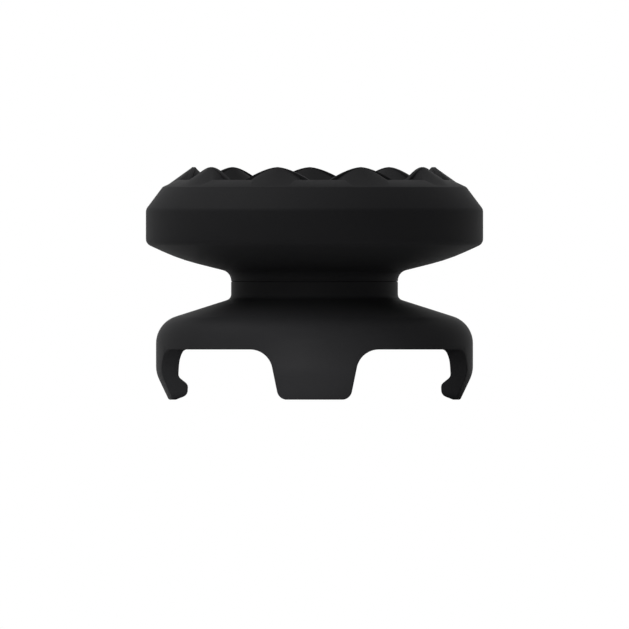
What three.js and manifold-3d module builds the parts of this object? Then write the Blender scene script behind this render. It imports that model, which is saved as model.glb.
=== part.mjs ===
// Thumb grip that clips onto the stick of a game controller, in millimetres, +Z up.
// A hard plastic base snaps over the stick's round head with hooked claws, and a soft rubber
// cap with a crown of raised lobes is held on the hub that stands on the base's neck.
// The origin is on the axis, level with the tips of the claws, and one claw faces the front, -Y.
import * as THREE from "three";
import { mergeVertices, toCreasedNormals } from "three/addons/utils/BufferGeometryUtils.js";
import Module from "manifold-3d";

const wasm = await Module();
wasm.setup();

const degrees = THREE.MathUtils.degToRad;

// Facets: steps of a full turn, and the widest step of a small rounding
const TURN_STEPS = 72;
const ROUNDING_STEP = degrees(20);
const FEWEST_ROUNDING_STEPS = 2;
const CREASE_ANGLE = degrees(25);
const MERGE_DISTANCE = 1e-5;

// The stick's round head, and the pocket that holds it
const STICK_HEAD_RADIUS = 9.3;
const POCKET_CLEARANCE = 0.2;
const POCKET_CORNER_ROUNDING = 0.4;
const SKIRT_WALL = 1.12;
const SKIRT_BAND_HEIGHT = 1.14;

// The claws: the skirt below the windows, each with a hook inside and a taper outside
const CLAW_COUNT = 4;
const CLAW_LENGTH = 3.36;
const CLAW_TIP_HALF_WIDTH = 2.4;
const CLAW_SIDE_DRAFT = degrees(11.6);
const CLAW_ROOT_ROUNDING = 1.5;
const CLAW_TIP_ROUNDING = 0.67;
const HOOK_REACH = 0.66;
const HOOK_LIP_HEIGHT = 0.72;
const HOOK_SLOPE = degrees(38.7);
const HOOK_BOTTOM_SLOPE = degrees(24);
const LIP_ROUNDING = 0.4;
const TAPER_INSET = 0.85;
const TAPER_LENGTH = 1.79;
const TAPER_ROUNDING = 2.1;
const CLAW_FOOT_LAND = 0.27;

// The base's shoulder, neck and hub
const SHOULDER_RISE = 0.66;
const SHOULDER_SLOPE = degrees(17.7);
const SHOULDER_ROUNDING = 1.9;
const NECK_RADIUS = 5.59;
const NECK_ROOT_ROUNDING = 0.4;
const BASE_NECK_HEIGHT = 1.18;
const HUB_WALL_INSET = 1.3;
const HUB_FLANGE_REACH = 1.7;
const HUB_FLANGE_THICKNESS = 1.2;
const HUB_FLANGE_ROUNDING = 0.25;
const HUB_GAP = 0.3;

// The cap's outside, from its neck up to the ring that the lobes stand on
const CAP_NECK_HEIGHT = 0.59;
const CAP_NECK_ROUNDING = 0.72;
const UNDERSIDE_RIM_WIDTH = 2.25;
const UNDERSIDE_INNER_SLOPE = degrees(14.2);
const UNDERSIDE_OUTER_SLOPE = degrees(24.7);
const UNDERSIDE_ROUNDING = 20;
const BELT_RADIUS = 11.3;
const BELT_HEIGHT = 2.31;
const BELT_ROUNDING = 0.5;
const CHAMFER_SLOPE = degrees(53.2);
const CHAMFER_INSET = 1.12;
const CHAMFER_TOP_ROUNDING = 0.25;
const LEDGE_SLOPE = degrees(25.2);
const LEDGE_INSET = 1.01;

// The dished middle of the cap, and the rubber left over the hub
const CROWN_RING_WIDTH = 3.17;
const DISH_DEPTH = 0.55;
const DISH_STEPS = 6;
const RUBBER_OVER_HUB = 1.4;

// The crown: each lobe is a thin arched ridge with a leaf that slopes down from each of its faces
const LOBE_COUNT = 9;
const CROWN_TURN = degrees(2.3);
const LOBE_HEIGHT = 0.86;
const LOBE_EMBEDDED = 0.6;
const LOBE_STEPS = 14;
const ARCH_POWER = 1.55;
const RIDGE_FACE_INSET = 3;
const RIDGE_THICKNESS = 0.27;
const RIDGE_HALF_WIDTH = 2.24;
const RIDGE_SKIRT = 0.1;
const LEAF_HALF_WIDTH = 1.8;
const OUTER_LEAF_REACH = 1.88;
const INNER_LEAF_REACH = 0.9;
const LEAF_SUNK = 0.05;

// Sizes and heights that follow from the ones above
const POCKET_RADIUS = STICK_HEAD_RADIUS + POCKET_CLEARANCE;
const SKIRT_RADIUS = POCKET_RADIUS + SKIRT_WALL;
const POCKET_CEILING = CLAW_LENGTH + SKIRT_BAND_HEIGHT;
const SHOULDER_EDGE = POCKET_CEILING + SHOULDER_RISE;
const NECK_ROOT = SHOULDER_EDGE + rise(SKIRT_RADIUS - NECK_RADIUS, SHOULDER_SLOPE);
const PART_LINE = NECK_ROOT + BASE_NECK_HEIGHT;
const UNDERSIDE_INNER_EDGE = PART_LINE + CAP_NECK_HEIGHT;
const UNDERSIDE_KNUCKLE_RADIUS = BELT_RADIUS - UNDERSIDE_RIM_WIDTH;
const UNDERSIDE_KNUCKLE =
  UNDERSIDE_INNER_EDGE + rise(UNDERSIDE_KNUCKLE_RADIUS - NECK_RADIUS, UNDERSIDE_INNER_SLOPE);
const BELT_BOTTOM = UNDERSIDE_KNUCKLE + rise(UNDERSIDE_RIM_WIDTH, UNDERSIDE_OUTER_SLOPE);
const BELT_TOP = BELT_BOTTOM + BELT_HEIGHT;
const CHAMFER_TOP_RADIUS = BELT_RADIUS - CHAMFER_INSET;
const CHAMFER_TOP = BELT_TOP + rise(CHAMFER_INSET, CHAMFER_SLOPE);
const CROWN_RADIUS = CHAMFER_TOP_RADIUS - LEDGE_INSET;
const CROWN_FLOOR = CHAMFER_TOP + rise(LEDGE_INSET, LEDGE_SLOPE);
const DISH_RADIUS = CROWN_RADIUS - CROWN_RING_WIDTH;
const HUB_RADIUS = NECK_RADIUS - HUB_WALL_INSET;
const HUB_FLANGE_RADIUS = HUB_RADIUS + HUB_FLANGE_REACH;
const SOCKET_ROOF = CROWN_FLOOR - DISH_DEPTH - RUBBER_OVER_HUB;
const HUB_TOP = SOCKET_ROOF - HUB_GAP;
const HUB_FLANGE_BOTTOM = HUB_TOP - HUB_FLANGE_THICKNESS;

// The height gained over a run at a slope.
function rise(run, slope) {
  return run * Math.tan(slope);
}

// The points of an outline whose corners [x, y, radius] are rounded by true arcs. A radius is
// held to what its shorter side has room for, and the ends of an open outline stay sharp.
function roundedOutline(corners, closed = false) {
  const places = corners.map(([x, y]) => new THREE.Vector2(x, y));
  const count = corners.length;
  return corners.flatMap(([, , radius = 0], i) => {
    const corner = places[i];
    const atEnd = !closed && (i === 0 || i === count - 1);
    if (!radius || atEnd) return [corner];
    const back = places[(i + count - 1) % count].clone().sub(corner);
    const ahead = places[(i + 1) % count].clone().sub(corner);
    const room = Math.min(back.length(), ahead.length()) / 2;
    back.normalize();
    ahead.normalize();
    const half = Math.acos(THREE.MathUtils.clamp(back.dot(ahead), -1, 1)) / 2;
    const fitted = Math.min(radius, room * Math.tan(half));
    const centre = back.clone().add(ahead).normalize();
    centre.multiplyScalar(fitted / Math.sin(half)).add(corner);
    const start = back.clone().multiplyScalar(fitted / Math.tan(half)).add(corner);
    const sweep = -Math.sign(back.cross(ahead)) * (Math.PI - 2 * half);
    const steps = Math.max(FEWEST_ROUNDING_STEPS, Math.ceil(Math.abs(sweep) / ROUNDING_STEP));
    return Array.from({ length: steps + 1 }, (_, step) =>
      start.clone().rotateAround(centre, (sweep * step) / steps),
    );
  });
}

// A profile of (radius, height) points turned about the Z axis.
function turned(profile) {
  return new THREE.LatheGeometry(profile, TURN_STEPS).rotateX(Math.PI / 2);
}

// An outline in X and Z drawn out along Y, from the front towards the back.
function drawnAlongY(outline, front, back) {
  const slab = new THREE.ExtrudeGeometry(new THREE.Shape(outline), {
    depth: back - front,
    bevelEnabled: false,
  });
  return slab.rotateX(Math.PI / 2).translate(0, back, 0);
}

// A closed geometry as a solid that can be joined and cut.
function solidOf(geometry) {
  const bare = new THREE.BufferGeometry();
  bare.setAttribute("position", geometry.getAttribute("position"));
  bare.setIndex(geometry.getIndex());
  const merged = mergeVertices(bare, MERGE_DISTANCE);
  const corners = merged.getIndex().array;
  const kept = [];
  for (let i = 0; i < corners.length; i += 3) {
    const [a, b, c] = corners.slice(i, i + 3);
    if (a !== b && b !== c && c !== a) kept.push(a, b, c);
  }
  return new wasm.Manifold(
    new wasm.Mesh({
      numProp: 3,
      vertProperties: Float32Array.from(merged.getAttribute("position").array),
      triVerts: Uint32Array.from(kept),
    }),
  );
}

// A solid as a geometry, smooth across all but its sharp edges.
function geometryOf(solid) {
  const mesh = solid.getMesh();
  const geometry = new THREE.BufferGeometry();
  geometry.setAttribute("position", new THREE.BufferAttribute(mesh.vertProperties, 3));
  geometry.setIndex(new THREE.BufferAttribute(mesh.triVerts, 1));
  return toCreasedNormals(geometry, CREASE_ANGLE);
}

// The base before its windows are cut: pocket, hooked skirt, shoulder, neck and flanged hub,
// turned in one profile that starts in the middle of the pocket's ceiling.
function turnedBase() {
  const lipRadius = POCKET_RADIUS - HOOK_REACH;
  const tipRadius = SKIRT_RADIUS - TAPER_INSET;
  const footInside = tipRadius - CLAW_FOOT_LAND;
  const lipBottom = rise(footInside - lipRadius, HOOK_BOTTOM_SLOPE);
  const lipTop = lipBottom + HOOK_LIP_HEIGHT;
  const hookTop = lipTop + rise(HOOK_REACH, HOOK_SLOPE);
  return turned(
    roundedOutline([
      [0, POCKET_CEILING],
      [POCKET_RADIUS, POCKET_CEILING, POCKET_CORNER_ROUNDING],
      [POCKET_RADIUS, hookTop, LIP_ROUNDING],
      [lipRadius, lipTop, LIP_ROUNDING],
      [lipRadius, lipBottom, LIP_ROUNDING],
      [footInside, 0],
      [tipRadius, 0],
      [SKIRT_RADIUS, TAPER_LENGTH, TAPER_ROUNDING],
      [SKIRT_RADIUS, SHOULDER_EDGE, SHOULDER_ROUNDING],
      [NECK_RADIUS, NECK_ROOT, NECK_ROOT_ROUNDING],
      [NECK_RADIUS, PART_LINE],
      [HUB_RADIUS, PART_LINE],
      [HUB_RADIUS, HUB_FLANGE_BOTTOM],
      [HUB_FLANGE_RADIUS, HUB_FLANGE_BOTTOM, HUB_FLANGE_ROUNDING],
      [HUB_FLANGE_RADIUS, HUB_TOP, HUB_FLANGE_ROUNDING],
      [0, HUB_TOP],
    ]),
  );
}

// The room of the front claw, which the windows on both sides of it leave standing. It
// narrows towards the claw's tip and flares into the skirt at its root.
function clawRoom(reach) {
  const rootHalfWidth = CLAW_TIP_HALF_WIDTH + CLAW_LENGTH * Math.tan(CLAW_SIDE_DRAFT);
  const side = [
    [CLAW_TIP_HALF_WIDTH, 0, CLAW_TIP_ROUNDING],
    [rootHalfWidth, CLAW_LENGTH, CLAW_ROOT_ROUNDING],
    [reach, CLAW_LENGTH],
    [reach, POCKET_CEILING],
  ];
  const mirrored = side.map(([x, z, radius]) => [-x, z, radius]).reverse();
  return drawnAlongY(roundedOutline([...side, ...mirrored], true), -reach, 0);
}

// The block that cuts the windows: all of the skirt below their top edge, less the claws.
function windowCutter() {
  const cutRadius = SKIRT_RADIUS + SKIRT_WALL / 2;
  const claw = clawRoom(SKIRT_RADIUS + SKIRT_WALL);
  let cutter = solidOf(
    turned(
      roundedOutline([
        [0, -SKIRT_WALL],
        [cutRadius, -SKIRT_WALL],
        [cutRadius, CLAW_LENGTH],
        [0, CLAW_LENGTH],
      ]),
    ),
  );
  for (let i = 0; i < CLAW_COUNT; i++) {
    const turn = (2 * Math.PI * i) / CLAW_COUNT;
    cutter = cutter.subtract(solidOf(claw.clone().rotateZ(turn)));
  }
  return cutter;
}

function clipBase() {
  return geometryOf(solidOf(turnedBase()).subtract(windowCutter()));
}

// The cap without its lobes: one profile that starts in the middle of the hub's socket, goes
// down and out past the part line, and comes back over the belt to the middle of the dish.
function turnedCap() {
  const dish = Array.from({ length: DISH_STEPS + 1 }, (_, step) => {
    const share = 1 - step / DISH_STEPS;
    return [DISH_RADIUS * share, CROWN_FLOOR - DISH_DEPTH * (1 - share * share)];
  });
  return turned(
    roundedOutline([
      [0, SOCKET_ROOF],
      [HUB_FLANGE_RADIUS + HUB_GAP, SOCKET_ROOF],
      [HUB_FLANGE_RADIUS + HUB_GAP, HUB_FLANGE_BOTTOM - HUB_GAP],
      [HUB_RADIUS + HUB_GAP, HUB_FLANGE_BOTTOM - HUB_GAP],
      [HUB_RADIUS + HUB_GAP, PART_LINE],
      [NECK_RADIUS, PART_LINE],
      [NECK_RADIUS, UNDERSIDE_INNER_EDGE, CAP_NECK_ROUNDING],
      [UNDERSIDE_KNUCKLE_RADIUS, UNDERSIDE_KNUCKLE, UNDERSIDE_ROUNDING],
      [BELT_RADIUS, BELT_BOTTOM, BELT_ROUNDING],
      [BELT_RADIUS, BELT_TOP, BELT_ROUNDING],
      [CHAMFER_TOP_RADIUS, CHAMFER_TOP, CHAMFER_TOP_ROUNDING],
      [CROWN_RADIUS, CROWN_FLOOR],
      ...dish,
    ]),
  );
}

// The height of the cap's top, without its lobes, between the dish and the chamfer.
function capTopAt(radius) {
  return CROWN_FLOOR - rise(Math.max(0, radius - CROWN_RADIUS), LEDGE_SLOPE);
}

// The arch of a lobe that faces the front, as [x, z] points from side to side.
function lobeArch(halfWidth) {
  return Array.from({ length: LOBE_STEPS + 1 }, (_, step) => {
    const share = Math.cos((Math.PI * step) / LOBE_STEPS);
    const height = LOBE_HEIGHT * (1 - Math.abs(share) ** ARCH_POWER);
    return [share * halfWidth, CROWN_FLOOR + height];
  });
}

// A leaf on one face of the front lobe's ridge. It falls from the arch to a half ellipse that is
// sunk a little into the cap's top. A negative reach points out of the cap.
function lobeLeaf(face, reach) {
  const bottom = CROWN_FLOOR - LOBE_EMBEDDED;
  const points = lobeArch(LEAF_HALF_WIDTH).flatMap(([x, z], step) => {
    const edge = face + reach * Math.sin((Math.PI * step) / LOBE_STEPS);
    return [
      [x, face, z],
      [x, edge, capTopAt(Math.hypot(x, edge)) - LEAF_SUNK],
      [x, face, bottom],
      [x, edge, bottom],
    ];
  });
  return wasm.Manifold.hull(points);
}

// One lobe of the crown, facing the front.
function crownLobe() {
  const face = RIDGE_FACE_INSET - BELT_RADIUS;
  const back = face + RIDGE_THICKNESS;
  const bottom = CROWN_FLOOR - LOBE_EMBEDDED;
  const skirtHalfWidth = RIDGE_HALF_WIDTH + RIDGE_SKIRT;
  const outline = [
    [-skirtHalfWidth, bottom],
    [skirtHalfWidth, bottom],
    ...lobeArch(RIDGE_HALF_WIDTH),
  ].map(([x, z]) => new THREE.Vector2(x, z));
  return solidOf(drawnAlongY(outline, face, back))
    .add(lobeLeaf(face + LEAF_SUNK, -OUTER_LEAF_REACH))
    .add(lobeLeaf(back - LEAF_SUNK, INNER_LEAF_REACH));
}

function gripCap() {
  let cap = solidOf(turnedCap());
  const lobe = crownLobe();
  for (let i = 0; i < LOBE_COUNT; i++) {
    const turn = CROWN_TURN + (2 * Math.PI * (i + 0.5)) / LOBE_COUNT;
    cap = cap.add(lobe.rotate([0, 0, THREE.MathUtils.radToDeg(turn)]));
  }
  return geometryOf(cap);
}

// Moulded black plastic, and softer, duller black rubber
const plastic = new THREE.MeshStandardMaterial({ color: "#1f1f20", roughness: 0.48, metalness: 0 });
const rubber = new THREE.MeshStandardMaterial({ color: "#1a1a1b", roughness: 0.72, metalness: 0 });

function part(name, geometry, material) {
  const mesh = new THREE.Mesh(geometry, material);
  mesh.name = name;
  return mesh;
}

const thumbGrip = new THREE.Group();
thumbGrip.add(part("clip_base", clipBase(), plastic));
thumbGrip.add(part("grip_cap", gripCap(), rubber));

export default thumbGrip;
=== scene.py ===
"""Looks of a clip-on thumb grip for a game controller's stick.

The grip has two moulded pieces: a hard plastic base, whose hooked claws snap over the stick's
round head, and a soft rubber cap with a crown of raised lobes. Both are modelled in millimetres
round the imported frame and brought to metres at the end. The grip stands on its claws, and one
claw faces the camera.
"""

from __future__ import annotations

import logging
import math
from abc import ABC, abstractmethod
from collections.abc import Sequence
from dataclasses import dataclass, field
from enum import Enum
from typing import Any

import bpy
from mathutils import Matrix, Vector


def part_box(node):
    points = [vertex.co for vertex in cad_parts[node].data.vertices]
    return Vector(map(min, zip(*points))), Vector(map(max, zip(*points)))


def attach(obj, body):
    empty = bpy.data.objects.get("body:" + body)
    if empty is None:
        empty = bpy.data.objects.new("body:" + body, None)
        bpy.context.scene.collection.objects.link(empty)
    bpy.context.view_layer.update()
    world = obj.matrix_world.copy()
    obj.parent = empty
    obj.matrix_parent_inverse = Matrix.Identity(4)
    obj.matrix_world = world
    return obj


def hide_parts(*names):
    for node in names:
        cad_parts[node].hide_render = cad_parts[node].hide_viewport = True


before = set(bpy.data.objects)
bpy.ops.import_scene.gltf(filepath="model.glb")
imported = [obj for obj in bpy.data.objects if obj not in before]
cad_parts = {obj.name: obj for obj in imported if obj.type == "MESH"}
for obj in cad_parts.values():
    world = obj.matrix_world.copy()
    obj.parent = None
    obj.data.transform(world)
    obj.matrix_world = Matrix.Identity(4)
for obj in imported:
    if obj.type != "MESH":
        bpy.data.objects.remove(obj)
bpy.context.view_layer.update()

log = logging.getLogger("thumb_grip")

MM = 0.001

# Arcs: the widest step, the least length of a step in millimetres, and the fewest steps
ROUNDING_STEP = math.radians(7)
SHORTEST_STEP = 0.12
FEWEST_ROUNDING_STEPS = 3

# Points of an outline or solid that lie closer together than this, in millimetres, are one
MERGE_DISTANCE = 1e-4

# Keeps the faces of two solids that are combined from lying in one plane, in millimetres
HAIR = 0.004

# Edges between faces that meet at less than this are shaded smooth
SMOOTH_ANGLE = math.radians(28)

# Sockets of a Mix node for colours, which share their names with those for other data
MIX_FACTOR = 0
MIX_FIRST_COLOUR = 6
MIX_SECOND_COLOUR = 7
MIXED_COLOUR = 2

# A point of an outline, a corner of one with its rounding radius, and a point in space
Point = tuple[float, float]
Corner = tuple[float, float, float]
Place = tuple[float, float, float]

# The name or number of a node's socket, or the name of a property
Key = str | int


class Join(Enum):
    """How one solid is combined with another."""

    ADD = "UNION"
    CUT = "DIFFERENCE"
    KEEP_SHARED = "INTERSECT"


def rise(run: float, slope: float) -> float:
    """Height gained over a run.

    Args:
        run: Length along the flat, in millimetres.
        slope: Slope from the flat, in degrees.

    Returns:
        The height, in millimetres.
    """
    return run * math.tan(math.radians(slope))


def arc_steps(radius: float, sweep: float) -> int:
    """Counts the steps of an arc, none of which is too wide or too short.

    Args:
        radius: The arc's radius, in millimetres.
        sweep: The angle it covers, in radians.

    Returns:
        The number of steps.
    """
    by_angle = math.ceil(abs(sweep) / ROUNDING_STEP)
    by_length = int(abs(sweep) * radius / SHORTEST_STEP)
    return max(FEWEST_ROUNDING_STEPS, min(by_angle, by_length))


def rounded_outline(corners: Sequence[Corner], closed: bool = False) -> list[Point]:
    """Rounds the corners of an outline by true arcs.

    A rounding has room up to a sharp neighbour, and up to halfway to a rounded one.

    Args:
        corners: Each corner's two coordinates and its rounding radius, in millimetres.
        closed: Whether the last corner joins the first one.

    Returns:
        The outline's points, in order.
    """
    places = [Vector((x, y)) for x, y, _ in corners]
    count = len(corners)
    points: list[Point] = []
    for i, (x, y, radius) in enumerate(corners):
        if not radius or (not closed and i in (0, count - 1)):
            points.append((x, y))
            continue
        following = (i + 1) % count
        back = places[i - 1] - places[i]
        ahead = places[following] - places[i]
        room = min(
            back.length / (2 if corners[i - 1][2] else 1),
            ahead.length / (2 if corners[following][2] else 1),
        )
        back.normalize()
        ahead.normalize()
        half = math.acos(max(-1.0, min(1.0, back.dot(ahead)))) / 2
        fitted = min(radius, room * math.tan(half))
        centre = places[i] + (back + ahead).normalized() * (fitted / math.sin(half))
        start = places[i] + back * (fitted / math.tan(half)) - centre
        turn = back.x * ahead.y - back.y * ahead.x
        sweep = -math.copysign(math.pi - 2 * half, turn)
        steps = arc_steps(fitted, sweep)
        for step in range(steps + 1):
            angle = sweep * step / steps
            across = start.x * math.cos(angle) - start.y * math.sin(angle)
            along = start.x * math.sin(angle) + start.y * math.cos(angle)
            points.append((centre.x + across, centre.y + along))
    return points


def select_only(piece: bpy.types.Object) -> None:
    """Makes a piece the only selected object, and the active one.

    Args:
        piece: The object to select.
    """
    bpy.ops.object.select_all(action="DESELECT")
    piece.select_set(True)
    bpy.context.view_layer.objects.active = piece


def wire(name: str, path: Sequence[Place]) -> bpy.types.Object:
    """Draws a path of points as a wire, extruded from point to point.

    Args:
        name: The new object's name.
        path: The points, in millimetres.

    Returns:
        The wire.
    """
    bpy.ops.object.select_all(action="DESELECT")
    bpy.ops.mesh.primitive_plane_add(size=1, location=(0, 0, 0))
    piece = bpy.context.object
    piece.name = name
    bpy.ops.object.mode_set(mode="EDIT")
    bpy.ops.mesh.merge(type="CENTER")
    bpy.ops.transform.translate(value=path[0])
    for start, end in zip(path, path[1:]):
        step = Vector(end) - Vector(start)
        bpy.ops.mesh.extrude_region_move(TRANSFORM_OT_translate={"value": step})
    bpy.ops.object.mode_set(mode="OBJECT")
    return piece


def turned(name: str, outline: Sequence[Point], steps: int) -> bpy.types.Object:
    """Spins a profile about the vertical axis into a closed solid.

    Args:
        name: The new object's name.
        outline: Points of (radius, height), in millimetres, that start and end on the axis or
            in the same place.
        steps: Facets in a full turn.

    Returns:
        The solid, with its faces pointing out.
    """
    piece = wire(name, [(x, 0, z) for x, z in outline])
    bpy.ops.object.mode_set(mode="EDIT")
    bpy.ops.mesh.select_all(action="SELECT")
    bpy.ops.mesh.spin(steps=steps, angle=2 * math.pi, center=(0, 0, 0), axis=(0, 0, 1))
    bpy.ops.mesh.select_all(action="SELECT")
    bpy.ops.mesh.remove_doubles(threshold=MERGE_DISTANCE)
    bpy.ops.mesh.normals_make_consistent(inside=False)
    bpy.ops.object.mode_set(mode="OBJECT")
    return piece


def drawn_along_y(
    name: str, outline: Sequence[Point], front: float, back: float
) -> bpy.types.Object:
    """Extrudes a closed outline of (x, z) points from the front towards the back.

    Args:
        name: The new object's name.
        outline: The outline's points, in millimetres.
        front: Where the solid starts along Y.
        back: Where it ends along Y.

    Returns:
        The solid, with its faces pointing out.
    """
    piece = wire(name, [(x, front, z) for x, z in outline])
    bpy.ops.object.mode_set(mode="EDIT")
    bpy.ops.mesh.select_all(action="SELECT")
    bpy.ops.mesh.edge_face_add()
    bpy.ops.mesh.extrude_region_move(TRANSFORM_OT_translate={"value": (0, back - front, 0)})
    bpy.ops.mesh.select_all(action="SELECT")
    bpy.ops.mesh.normals_make_consistent(inside=False)
    bpy.ops.object.mode_set(mode="OBJECT")
    return piece


def turned_copy(piece: bpy.types.Object, name: str, degrees: float) -> bpy.types.Object:
    """Copies a piece, with its own mesh, turned about the vertical axis.

    Args:
        piece: The piece to copy.
        name: The copy's name.
        degrees: The turn, counter-clockwise from above.

    Returns:
        The copy, with its turn applied.
    """
    copy = piece.copy()
    copy.data = piece.data.copy()
    copy.name = name
    bpy.context.collection.objects.link(copy)
    select_only(copy)
    copy.rotation_euler = (0, 0, math.radians(degrees))
    bpy.ops.object.transform_apply(location=False, rotation=True, scale=False)
    return copy


def combine(piece: bpy.types.Object, tool: bpy.types.Object, join: Join) -> None:
    """Adds a tool to a piece, cuts it away or keeps what both share. The tool is used up.

    Args:
        piece: The solid that changes.
        tool: The other solid.
        join: How they are combined.
    """
    select_only(piece)
    modifier = piece.modifiers.new(join.name.lower(), "BOOLEAN")
    modifier.operation = join.value
    modifier.solver = "EXACT"
    modifier.object = tool
    bpy.ops.object.modifier_apply(modifier=modifier.name)
    bpy.data.objects.remove(tool)


def round_edges(piece: bpy.types.Object, width: float, segments: int, sharper_than: float) -> None:
    """Rounds the edges of a piece that are sharper than an angle.

    Points that would lie inside the rounding are merged first, those beside a sharp edge into
    the edge, so that the rounding has room.

    Args:
        piece: The solid that changes.
        width: How far the rounding reaches over each face, in millimetres.
        segments: Faces across the rounding.
        sharper_than: The angle between faces, in degrees, from which an edge is rounded.
    """
    sharpness = math.radians(sharper_than)
    select_only(piece)
    bpy.ops.object.mode_set(mode="EDIT")
    bpy.ops.mesh.select_all(action="DESELECT")
    bpy.ops.mesh.edges_select_sharp(sharpness=sharpness)
    bpy.ops.mesh.remove_doubles(threshold=width / 2)
    bpy.ops.mesh.select_all(action="DESELECT")
    bpy.ops.mesh.edges_select_sharp(sharpness=sharpness)
    bpy.ops.mesh.select_all(action="INVERT")
    bpy.ops.mesh.remove_doubles(threshold=width, use_unselected=True)
    bpy.ops.object.mode_set(mode="OBJECT")
    modifier = piece.modifiers.new("edge_rounding", "BEVEL")
    modifier.width = width
    modifier.segments = segments
    modifier.limit_method = "ANGLE"
    modifier.angle_limit = sharpness
    modifier.loop_slide = False
    modifier.use_clamp_overlap = False
    bpy.ops.object.modifier_apply(modifier=modifier.name)


def to_metres(piece: bpy.types.Object) -> None:
    """Smooths a finished piece and brings its mesh from millimetres to metres.

    Args:
        piece: The finished piece.
    """
    select_only(piece)
    piece.scale = (MM, MM, MM)
    bpy.ops.object.transform_apply(location=True, rotation=True, scale=True)
    bpy.ops.object.shade_smooth_by_angle(angle=SMOOTH_ANGLE)


def linear(code: str) -> tuple[float, float, float, float]:
    """Turns an sRGB hex colour into Blender's linear colour.

    Args:
        code: The colour, such as "#262627".

    Returns:
        Linear red, green, blue and an alpha of 1.
    """
    channels = [int(code[i : i + 2], 16) / 255 for i in (1, 3, 5)]
    red, green, blue = (
        c / 12.92 if c <= 0.04045 else ((c + 0.055) / 1.055) ** 2.4 for c in channels
    )
    return red, green, blue, 1.0


def add_node(
    tree: bpy.types.NodeTree,
    kind: str,
    settings: dict[Key, Any],
    links: dict[Key, bpy.types.NodeSocket],
) -> bpy.types.Node:
    """Adds a node with its settings and links.

    Args:
        tree: The node tree.
        kind: The node's type, such as "ShaderNodeBump".
        settings: Values by the name or number of an input socket, or else a property's name.
        links: Output sockets by the name or number of the input socket that each one feeds.

    Returns:
        The new node.
    """
    node = tree.nodes.new(kind)
    for key, value in settings.items():
        if isinstance(key, int) or key in node.inputs:
            node.inputs[key].default_value = value
        else:
            setattr(node, key, value)
    for key, output in links.items():
        tree.links.new(output, node.inputs[key])
    return node


def per_metre(size_mm: float) -> float:
    """Scale of a pattern on Object coordinates whose features are this many millimetres wide."""
    return 1 / (size_mm * MM)


@dataclass(frozen=True)
class MouldedFinish:
    """A moulded black surface: an eroded mould's fine grain, with slow changes in its sheen.

    The grain of such a mould is about 0.03 mm, too fine to show, so it is drawn a few times
    coarser. It scatters what a smooth surface would mirror, so the specular level is low, and
    the highlights fade softly and never look wet.
    """

    name: str
    colour: str
    cloud_colour: str
    roughness: float
    roughness_change: float
    specular: float
    ior: float
    grain_mm: float
    grain_height_mm: float
    cloud_mm: float

    def material(self) -> bpy.types.Material:
        """Makes the material.

        Returns:
            The material, with its nodes.
        """
        made = bpy.data.materials.new(self.name)
        made.use_nodes = True
        tree = made.node_tree
        tree.nodes.clear()
        place = add_node(tree, "ShaderNodeTexCoord", {}, {}).outputs["Object"]
        cloud = add_node(
            tree,
            "ShaderNodeTexNoise",
            {"Scale": per_metre(self.cloud_mm), "Detail": 3.0, "Roughness": 0.6},
            {"Vector": place},
        )
        grain = add_node(
            tree,
            "ShaderNodeTexNoise",
            {"Scale": per_metre(self.grain_mm), "Detail": 2.0, "Roughness": 0.55},
            {"Vector": place},
        )
        tint = add_node(
            tree,
            "ShaderNodeMix",
            {
                "data_type": "RGBA",
                MIX_FIRST_COLOUR: linear(self.colour),
                MIX_SECOND_COLOUR: linear(self.cloud_colour),
            },
            {MIX_FACTOR: cloud.outputs["Fac"]},
        )
        sheen = add_node(
            tree,
            "ShaderNodeMapRange",
            {
                "To Min": self.roughness - self.roughness_change,
                "To Max": self.roughness + self.roughness_change,
            },
            {"Value": cloud.outputs["Fac"]},
        )
        bump = add_node(
            tree,
            "ShaderNodeBump",
            {"Strength": 1.0, "Distance": self.grain_height_mm * MM},
            {"Height": grain.outputs["Fac"]},
        )
        shader = add_node(
            tree,
            "ShaderNodeBsdfPrincipled",
            {"IOR": self.ior, "Specular IOR Level": self.specular, "Metallic": 0.0},
            {
                "Base Color": tint.outputs[MIXED_COLOUR],
                "Roughness": sheen.outputs["Result"],
                "Normal": bump.outputs["Normal"],
            },
        )
        add_node(tree, "ShaderNodeOutputMaterial", {}, {"Surface": shader.outputs["BSDF"]})
        return made


# Injection-moulded ABS: hard and satin, with a fine grain that leaves it hardly any shine
SATIN_ABS = MouldedFinish(
    name="satin_black_abs",
    colour="#1d1d1e",
    cloud_colour="#202021",
    roughness=0.5,
    roughness_change=0.05,
    specular=0.015,
    ior=1.53,
    grain_mm=0.11,
    grain_height_mm=0.004,
    cloud_mm=5.0,
)

# Compression-moulded silicone rubber: rougher and a little blacker, so that edges show softly
MATTE_RUBBER = MouldedFinish(
    name="matte_black_rubber",
    colour="#171718",
    cloud_colour="#1a1a1b",
    roughness=0.62,
    roughness_change=0.06,
    specular=0.055,
    ior=1.41,
    grain_mm=0.14,
    grain_height_mm=0.006,
    cloud_mm=4.0,
)


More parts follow.
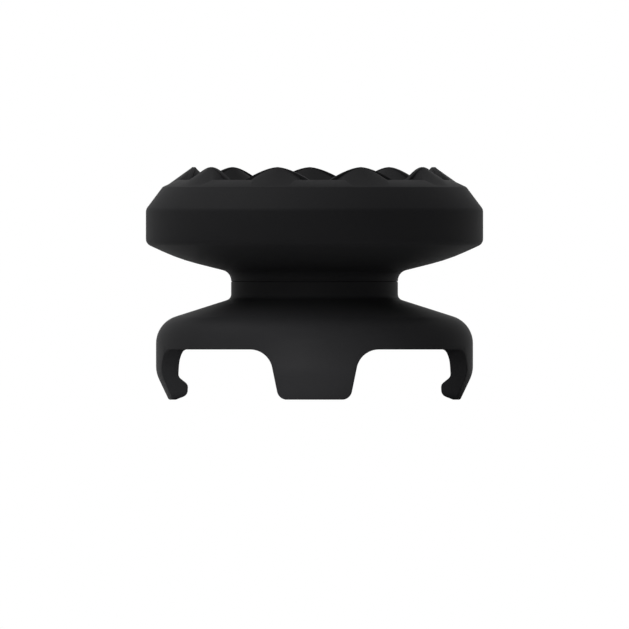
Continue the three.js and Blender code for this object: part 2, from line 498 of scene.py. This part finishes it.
@dataclass
class ClipBase:
    """The hard base: hooked claws, windowed skirt, pocket, shoulder, neck and flanged hub.

    Sizes are in millimetres, and slopes are in degrees from the flat.
    """

    skirt_radius: float
    hub_top: float
    part_line: float
    finish: MouldedFinish = SATIN_ABS
    skirt_wall: float = 1.12
    band_height: float = 1.14
    pocket_rounding: float = 0.4
    claw_count: int = 4
    claw_length: float = 3.36
    claw_tip_half_width: float = 2.4
    claw_side_draft: float = 11.6
    claw_root_rounding: float = 1.5
    claw_tip_rounding: float = 0.67
    hook_reach: float = 0.66
    hook_lip_height: float = 0.72
    hook_slope: float = 38.7
    hook_bottom_slope: float = 24
    lip_rounding: float = 0.4
    taper_inset: float = 0.85
    taper_length: float = 1.79
    taper_rounding: float = 2.1
    foot_land: float = 0.27
    shoulder_rise: float = 0.66
    shoulder_slope: float = 17.7
    shoulder_rounding: float = 1.9
    neck_radius: float = 5.59
    neck_root_rounding: float = 0.4
    hub_inset: float = 1.3
    flange_reach: float = 1.7
    flange_thickness: float = 1.2
    flange_rounding: float = 0.25
    edge_rounding: float = 0.09
    edge_segments: int = 3
    edge_sharper_than: float = 32
    # At 80 facets, none of their edges runs close along a claw's side
    turn_steps: int = 80

    @property
    def hub_radius(self) -> float:
        """Radius of the hub under its flange."""
        return self.neck_radius - self.hub_inset

    @property
    def flange_radius(self) -> float:
        """Radius of the flange that holds the cap on the hub."""
        return self.hub_radius + self.flange_reach

    @property
    def cutter_reach(self) -> float:
        """How far the window cutters go from the axis, clear of the skirt."""
        return self.skirt_radius + self.skirt_wall

    def turned_blank(self) -> bpy.types.Object:
        """Turns the base before its windows are cut.

        Returns:
            The solid.
        """
        pocket_radius = self.skirt_radius - self.skirt_wall
        lip_radius = pocket_radius - self.hook_reach
        tip_radius = self.skirt_radius - self.taper_inset
        foot_inside = tip_radius - self.foot_land
        lip_bottom = rise(foot_inside - lip_radius, self.hook_bottom_slope)
        lip_top = lip_bottom + self.hook_lip_height
        hook_top = lip_top + rise(self.hook_reach, self.hook_slope)
        ceiling = self.claw_length + self.band_height
        shoulder_edge = ceiling + self.shoulder_rise
        neck_root = shoulder_edge + rise(self.skirt_radius - self.neck_radius, self.shoulder_slope)
        flange_bottom = self.hub_top - self.flange_thickness
        return turned(
            "clip_base_moulding",
            rounded_outline(
                [
                    (0, ceiling, 0),
                    (pocket_radius, ceiling, self.pocket_rounding),
                    (pocket_radius, hook_top, self.lip_rounding),
                    (lip_radius, lip_top, self.lip_rounding),
                    (lip_radius, lip_bottom, self.lip_rounding),
                    (foot_inside, 0, 0),
                    (tip_radius, 0, 0),
                    (self.skirt_radius, self.taper_length, self.taper_rounding),
                    (self.skirt_radius, shoulder_edge, self.shoulder_rounding),
                    (self.neck_radius, neck_root, self.neck_root_rounding),
                    (self.neck_radius, self.part_line, 0),
                    (self.hub_radius, self.part_line, 0),
                    (self.hub_radius, flange_bottom, 0),
                    (self.flange_radius, flange_bottom, self.flange_rounding),
                    (self.flange_radius, self.hub_top, self.flange_rounding),
                    (0, self.hub_top, 0),
                ]
            ),
            self.turn_steps,
        )

    def window_outline(self) -> list[Point]:
        """Draws what lies beside and under the front claw, up to the windows' top edge.

        Returns:
            The outline of (x, z) points, in millimetres, on the claw's +X side.
        """
        draft = math.tan(math.radians(self.claw_side_draft))
        root_half_width = self.claw_tip_half_width + self.claw_length * draft
        return rounded_outline(
            [
                (0, -self.skirt_wall, 0),
                (self.cutter_reach, -self.skirt_wall, 0),
                (self.cutter_reach, self.claw_length, 0),
                (root_half_width, self.claw_length, self.claw_root_rounding),
                (self.claw_tip_half_width, -HAIR, self.claw_tip_rounding),
                (0, -HAIR, 0),
            ],
            closed=True,
        )

    def window_cutter(self) -> bpy.types.Object:
        """Makes the block that cuts the window between the front claw and the +X claw.

        Returns:
            The solid, which is what lies beside both claws.
        """
        outline = self.window_outline()
        cutter = drawn_along_y("window_cutter", outline, -self.cutter_reach, 0)
        mirrored = [(-x, z + HAIR) for x, z in reversed(outline)]
        left_side = drawn_along_y("left_of_front_claw", mirrored, -self.cutter_reach, 0)
        to_next_claw = 360 / self.claw_count
        combine(cutter, turned_copy(left_side, "left_of_next_claw", to_next_claw), Join.KEEP_SHARED)
        bpy.data.objects.remove(left_side)
        return cutter

    def build(self) -> bpy.types.Object:
        """Builds and dresses the base.

        Returns:
            The finished piece.
        """
        piece = self.turned_blank()
        cutter = self.window_cutter()
        for i in range(self.claw_count):
            window = turned_copy(cutter, f"window_{i}", 360 * i / self.claw_count)
            combine(piece, window, Join.CUT)
        bpy.data.objects.remove(cutter)
        round_edges(piece, self.edge_rounding, self.edge_segments, self.edge_sharper_than)
        to_metres(piece)
        piece.data.materials.clear()
        piece.data.materials.append(self.finish.material())
        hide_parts("clip_base")
        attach(piece, "root")
        return piece


@dataclass
class GripCap:
    """The soft cap: coned underside, belt, chamfer, ledge, crown of lobes and dished middle.

    Its neck and its socket fit the base that it is held on. Sizes are in millimetres, and slopes
    are in degrees from the flat.
    """

    base: ClipBase
    belt_radius: float
    crest: float
    finish: MouldedFinish = MATTE_RUBBER
    neck_height: float = 0.59
    neck_rounding: float = 0.72
    rim_width: float = 2.25
    inner_slope: float = 14.2
    outer_slope: float = 24.7
    underside_rounding: float = 20
    belt_height: float = 2.31
    belt_rounding: float = 0.5
    chamfer_slope: float = 53.2
    chamfer_inset: float = 1.12
    chamfer_rounding: float = 0.25
    ledge_slope: float = 25.2
    ledge_inset: float = 1.01
    crown_ring_width: float = 3.17
    dish_depth: float = 0.55
    dish_steps: int = 12
    hub_gap: float = 0.3
    lobe_count: int = 9
    crown_turn: float = 2.3
    lobe_height: float = 0.86
    lobe_embedded: float = 0.6
    lobe_steps: int = 24
    arch_power: float = 1.55
    ridge_face_inset: float = 3
    ridge_thickness: float = 0.27
    ridge_half_width: float = 2.24
    ridge_skirt: float = 0.1
    ridge_rounding: float = 0.04
    ridge_segments: int = 3
    ridge_sharper_than: float = 60
    leaf_half_width: float = 1.8
    outer_leaf_reach: float = 1.88
    inner_leaf_reach: float = 0.9
    leaf_sunk: float = 0.05
    turn_steps: int = 144
    crown_floor: float = field(init=False)
    crown_radius: float = field(init=False)

    def __post_init__(self) -> None:
        """Works out where the lobes stand."""
        self.crown_floor = self.crest - self.lobe_height
        self.crown_radius = self.belt_radius - self.chamfer_inset - self.ledge_inset

    def dish_outline(self) -> list[Corner]:
        """Draws the dish's hollow, a parabola from its rim to the axis.

        Returns:
            The corners of (radius, height, rounding), in millimetres.
        """
        rim = self.crown_radius - self.crown_ring_width
        shares = [1 - step / self.dish_steps for step in range(self.dish_steps + 1)]
        return [
            (rim * share, self.crown_floor - self.dish_depth * (1 - share * share), 0)
            for share in shares
        ]

    def turned_blank(self) -> bpy.types.Object:
        """Turns the cap without its lobes.

        Returns:
            The solid.
        """
        base = self.base
        inner_edge = base.part_line + self.neck_height
        knuckle_radius = self.belt_radius - self.rim_width
        knuckle = inner_edge + rise(knuckle_radius - base.neck_radius, self.inner_slope)
        belt_bottom = knuckle + rise(self.rim_width, self.outer_slope)
        belt_top = belt_bottom + self.belt_height
        chamfer_radius = self.belt_radius - self.chamfer_inset
        chamfer_top = belt_top + rise(self.chamfer_inset, self.chamfer_slope)
        socket_radius = base.flange_radius + self.hub_gap
        socket_roof = base.hub_top + self.hub_gap
        socket_floor = base.hub_top - base.flange_thickness - self.hub_gap
        hub_room = base.hub_radius + self.hub_gap
        return turned(
            "grip_cap_moulding",
            rounded_outline(
                [
                    (0, socket_roof, 0),
                    (socket_radius, socket_roof, 0),
                    (socket_radius, socket_floor, 0),
                    (hub_room, socket_floor, 0),
                    (hub_room, base.part_line, 0),
                    (base.neck_radius, base.part_line, 0),
                    (base.neck_radius, inner_edge, self.neck_rounding),
                    (knuckle_radius, knuckle, self.underside_rounding),
                    (self.belt_radius, belt_bottom, self.belt_rounding),
                    (self.belt_radius, belt_top, self.belt_rounding),
                    (chamfer_radius, chamfer_top, self.chamfer_rounding),
                    (self.crown_radius, self.crown_floor, 0),
                    *self.dish_outline(),
                ]
            ),
            self.turn_steps,
        )

    def top_at(self, radius: float) -> float:
        """Height of the cap's top, without its lobes, between the dish and the chamfer."""
        return self.crown_floor - rise(max(0.0, radius - self.crown_radius), self.ledge_slope)

    def lobe_arch(self, half_width: float) -> list[Point]:
        """Draws the arch of a lobe, from side to side.

        Args:
            half_width: Half of the arch's width at its foot, in millimetres.

        Returns:
            The (x, z) points, in millimetres.
        """
        shares = [math.cos(math.pi * i / self.lobe_steps) for i in range(self.lobe_steps + 1)]
        return [
            (
                share * half_width,
                self.crown_floor + self.lobe_height * (1 - abs(share) ** self.arch_power),
            )
            for share in shares
        ]

    def ridge(self, face: float) -> bpy.types.Object:
        """Makes the thin arched ridge of the front lobe, with rounded edges.

        Args:
            face: Where its outer face stands along Y, in millimetres.

        Returns:
            The solid.
        """
        foot = self.crown_floor - self.lobe_embedded
        skirt = self.ridge_half_width + self.ridge_skirt
        outline = [(-skirt, foot), (skirt, foot), *self.lobe_arch(self.ridge_half_width)]
        ridge = drawn_along_y("lobe", outline, face, face + self.ridge_thickness)
        round_edges(ridge, self.ridge_rounding, self.ridge_segments, self.ridge_sharper_than)
        return ridge

    def leaf(self, face: float, reach: float) -> bpy.types.Object:
        """Makes the leaf on one face of the front lobe's ridge.

        It falls from the arch to a half ellipse that is sunk a little into the cap's top.

        Args:
            face: Where the arch stands along Y, in millimetres.
            reach: How far the leaf's middle goes, below zero if it points out of the cap.

        Returns:
            The solid.
        """
        foot = self.crown_floor - self.lobe_embedded
        path: list[Place] = []
        for i, (x, z) in enumerate(self.lobe_arch(self.leaf_half_width)):
            edge = face + reach * math.sin(math.pi * i / self.lobe_steps)
            low = self.top_at(math.hypot(x, edge)) - self.leaf_sunk
            path += [(x, face, z), (x, edge, low), (x, face, foot), (x, edge, foot)]
        leaf = wire("leaf", path)
        bpy.ops.object.mode_set(mode="EDIT")
        bpy.ops.mesh.select_all(action="SELECT")
        bpy.ops.mesh.remove_doubles(threshold=MERGE_DISTANCE)
        bpy.ops.mesh.convex_hull()
        bpy.ops.mesh.select_all(action="SELECT")
        bpy.ops.mesh.normals_make_consistent(inside=False)
        bpy.ops.object.mode_set(mode="OBJECT")
        return leaf

    def lobe(self) -> bpy.types.Object:
        """Makes one lobe of the crown, facing the front.

        Returns:
            The solid.
        """
        face = self.ridge_face_inset - self.belt_radius
        back = face + self.ridge_thickness
        lobe = self.ridge(face)
        combine(lobe, self.leaf(face + self.leaf_sunk, -self.outer_leaf_reach), Join.ADD)
        combine(lobe, self.leaf(back - self.leaf_sunk, self.inner_leaf_reach), Join.ADD)
        return lobe

    def build(self) -> bpy.types.Object:
        """Builds and dresses the cap.

        Returns:
            The finished piece.
        """
        piece = self.turned_blank()
        lobe = self.lobe()
        for i in range(self.lobe_count):
            turn = self.crown_turn + 360 * (i + 0.5) / self.lobe_count
            combine(piece, turned_copy(lobe, f"lobe_{i}", turn), Join.ADD)
        bpy.data.objects.remove(lobe)
        to_metres(piece)
        piece.data.materials.clear()
        piece.data.materials.append(self.finish.material())
        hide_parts("grip_cap")
        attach(piece, "root")
        return piece


@dataclass(frozen=True, kw_only=True)
class Lamp(ABC):
    """A studio lamp. Angles are in degrees, and sizes are in metres."""

    name: str
    azimuth: float
    elevation: float
    watts: float
    distance: float = 0.30

    @abstractmethod
    def light(self) -> bpy.types.Light:
        """Makes the lamp's light, without its power."""

    def hang(self, aim: Vector) -> None:
        """Hangs the lamp and turns it to its aim.

        Args:
            aim: Where it looks, from which its distance is counted.
        """
        azimuth = math.radians(self.azimuth)
        elevation = math.radians(self.elevation)
        away = Vector(
            (
                math.sin(azimuth) * math.cos(elevation),
                -math.cos(azimuth) * math.cos(elevation),
                math.sin(elevation),
            )
        )
        light = self.light()
        light.energy = self.watts
        hung = bpy.data.objects.new(self.name, light)
        hung.location = aim + away * self.distance
        hung.rotation_euler = (-away).to_track_quat("-Z", "Y").to_euler()
        bpy.context.collection.objects.link(hung)


@dataclass(frozen=True, kw_only=True)
class Softbox(Lamp):
    """A square lamp that looks at the grip's middle."""

    size: float = 0.16

    def light(self) -> bpy.types.Light:
        """Makes the lamp's light, without its power."""
        light = bpy.data.lights.new(self.name, "AREA")
        light.size = self.size
        return light


@dataclass(frozen=True, kw_only=True)
class Spotlight(Lamp):
    """A low lamp for the claws, whose beam's upper edge lies on the base's shoulder.

    It is aimed under the floor by its drop, so that only the beam's upper part is used.
    """

    drop: float
    beam_radius: float
    beam_softness: float
    lens_radius: float

    def light(self) -> bpy.types.Light:
        """Makes the lamp's light, without its power."""
        light = bpy.data.lights.new(self.name, "SPOT")
        light.spot_size = 2 * math.atan(self.beam_radius / self.distance)
        light.spot_blend = self.beam_softness
        light.shadow_soft_size = self.lens_radius
        return light


@dataclass
class Studio:
    """Pale floor, white surroundings, lamps and a level camera. Sizes are in metres."""

    aim: Vector
    picture_width: float
    picture_centre: float
    floor_size: float = 1.6
    floor_colour: str = "#f2f2f2"
    fade_start: float = 0.05
    fade_end: float = 0.14
    fill: float = 0.1
    camera_distance: float = 0.5
    clip_start: float = 0.01
    clip_end: float = 5.0
    softboxes: tuple[Softbox, ...] = (
        Softbox(name="key", azimuth=-25, elevation=45, watts=0.32),
        Softbox(name="left", azimuth=-85, elevation=50, watts=0.52),
        Softbox(name="top", azimuth=0, elevation=88, watts=0.22),
    )
    claw_light: Spotlight = Spotlight(
        name="claw_light",
        azimuth=-12,
        elevation=8,
        watts=6.8,
        drop=0.014,
        beam_radius=0.018,
        beam_softness=0.4,
        lens_radius=0.006,
    )

    def build(self) -> None:
        """Builds the floor, the world, the lamps and the camera."""
        self.floor()
        self.world()
        for softbox in self.softboxes:
            softbox.hang(self.aim)
        self.claw_light.hang(Vector((0, 0, -self.claw_light.drop)))
        self.camera()

    def floor(self) -> None:
        """Lays the floor, which keeps the grip's shadow and fades to white further out."""
        bpy.ops.object.select_all(action="DESELECT")
        bpy.ops.mesh.primitive_plane_add(size=self.floor_size, location=(0, 0, 0))
        floor = bpy.context.object
        floor.name = "floor"
        made = bpy.data.materials.new("pale_floor")
        made.use_nodes = True
        tree = made.node_tree
        tree.nodes.clear()
        place = add_node(tree, "ShaderNodeTexCoord", {}, {}).outputs["Object"]
        far = add_node(tree, "ShaderNodeVectorMath", {"operation": "LENGTH"}, {0: place})
        fade = add_node(
            tree,
            "ShaderNodeMapRange",
            {"From Min": self.fade_start, "From Max": self.fade_end},
            {"Value": far.outputs["Value"]},
        )
        paint = add_node(
            tree, "ShaderNodeBsdfDiffuse", {"Color": linear(self.floor_colour)}, {}
        )
        white = add_node(tree, "ShaderNodeEmission", {"Strength": 1.0}, {})
        share = add_node(
            tree,
            "ShaderNodeMath",
            {"operation": "MULTIPLY"},
            {0: fade.outputs["Result"], 1: self.seen_rays(tree)},
        )
        mixed = add_node(
            tree,
            "ShaderNodeMixShader",
            {},
            {0: share.outputs["Value"], 1: paint.outputs["BSDF"], 2: white.outputs["Emission"]},
        )
        add_node(tree, "ShaderNodeOutputMaterial", {}, {"Surface": mixed.outputs["Shader"]})
        floor.data.materials.append(made)

    def seen_rays(self, tree: bpy.types.NodeTree) -> bpy.types.NodeSocket:
        """Adds the nodes that are 1 for rays that show the white surroundings.

        Args:
            tree: The node tree.

        Returns:
            The output: 1 for camera, glossy and transmission rays, else 0.
        """
        rays = add_node(tree, "ShaderNodeLightPath", {}, {})
        mirror = add_node(
            tree,
            "ShaderNodeMath",
            {"operation": "MAXIMUM"},
            {0: rays.outputs["Is Glossy Ray"], 1: rays.outputs["Is Transmission Ray"]},
        )
        seen = add_node(
            tree,
            "ShaderNodeMath",
            {"operation": "MAXIMUM"},
            {0: rays.outputs["Is Camera Ray"], 1: mirror.outputs["Value"]},
        )
        return seen.outputs["Value"]

    def world(self) -> None:
        """Makes the surroundings: white where they show, and a dim fill as light."""
        world = bpy.data.worlds.new("surroundings")
        world.use_nodes = True
        tree = world.node_tree
        tree.nodes.clear()
        strength = add_node(
            tree,
            "ShaderNodeMapRange",
            {"To Min": self.fill, "To Max": 1.0},
            {"Value": self.seen_rays(tree)},
        )
        light = add_node(
            tree,
            "ShaderNodeBackground",
            {"Color": linear("#ffffff")},
            {"Strength": strength.outputs["Result"]},
        )
        add_node(tree, "ShaderNodeOutputWorld", {}, {"Surface": light.outputs["Background"]})
        bpy.context.scene.world = world

    def camera(self) -> None:
        """Sets up the level camera, whose far viewpoint shows the grip without perspective."""
        data = bpy.data.cameras.new("camera")
        data.type = "ORTHO"
        data.ortho_scale = self.picture_width
        data.clip_start = self.clip_start
        data.clip_end = self.clip_end
        camera = bpy.data.objects.new("camera", data)
        camera.location = (0, -self.camera_distance, self.picture_centre)
        camera.rotation_euler = (math.pi / 2, 0, 0)
        bpy.context.collection.objects.link(camera)
        bpy.context.scene.camera = camera


# The photograph's height and scale, and the row that the claws' tips stand on
PICTURE_PIXELS = 629
MM_PER_PIXEL = 0.067
CLAW_TIP_ROW = 399.7


def main() -> None:
    """Builds the grip and its studio, and reports each piece."""
    logging.basicConfig(level=logging.INFO, format="%(name)s: %(message)s")
    base_low, base_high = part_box("clip_base")
    cap_low, cap_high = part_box("grip_cap")
    base = ClipBase(
        skirt_radius=base_high.x / MM, hub_top=base_high.z / MM, part_line=cap_low.z / MM
    )
    log.info("built %s", base.build().name)
    cap = GripCap(base=base, belt_radius=cap_high.x / MM, crest=cap_high.z / MM)
    log.info("built %s", cap.build().name)
    studio = Studio(
        aim=(base_low + cap_high) / 2,
        picture_width=PICTURE_PIXELS * MM_PER_PIXEL * MM,
        picture_centre=(CLAW_TIP_ROW - PICTURE_PIXELS / 2) * MM_PER_PIXEL * MM,
    )
    studio.build()
    log.info("built the studio")
    bpy.context.scene.view_settings.view_transform = "Standard"


if __name__ == "__main__":
    main()
